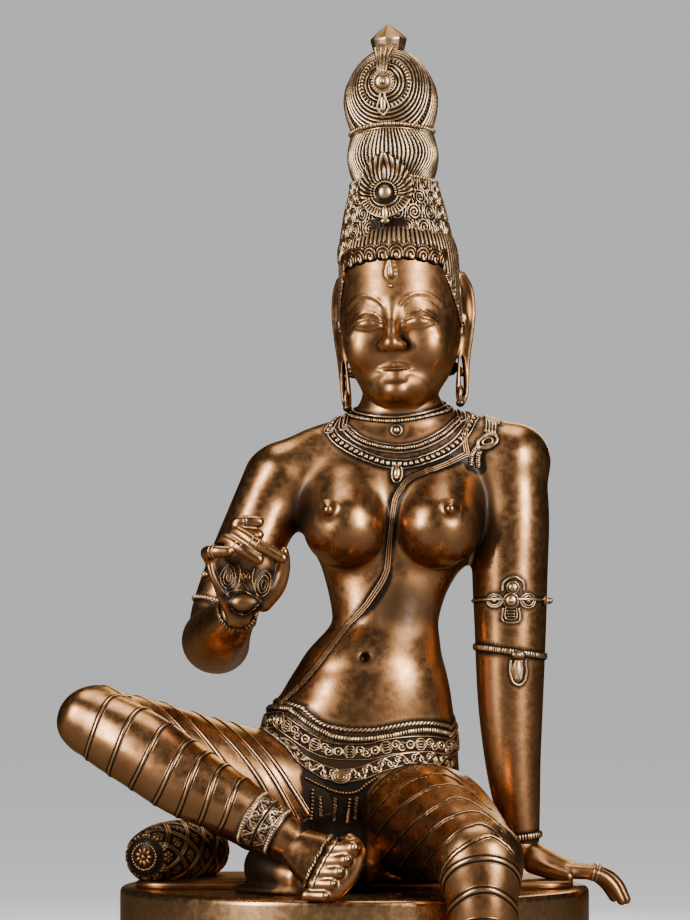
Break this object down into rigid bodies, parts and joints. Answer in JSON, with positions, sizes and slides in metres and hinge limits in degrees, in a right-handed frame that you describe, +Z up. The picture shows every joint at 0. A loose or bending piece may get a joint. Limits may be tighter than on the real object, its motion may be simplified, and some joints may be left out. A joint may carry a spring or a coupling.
{
  "type": "seated parvati figure on a drum plinth",
  "caption": "Cast brass figure of a crowned goddess seated on a round drum plinth, one leg folded, the other hanging to a footrest.",
  "frame": {"origin": "centre of the plinth's underside, on the drum's axis", "axes": "+Z up, -Y the way the figure faces, +X towards the figure's left hand"},
  "size_m": [0.3584, 0.4, 0.7489],
  "materials": {
    "figure_brass": "antique brown patina, worn bright on the crests",
    "plinth_brass": "brown patina, polished"
  },
  "bodies": {
    "root": {"figure": "figure_brass", "plinth": "plinth_brass"}
  },
  "joints": []
}
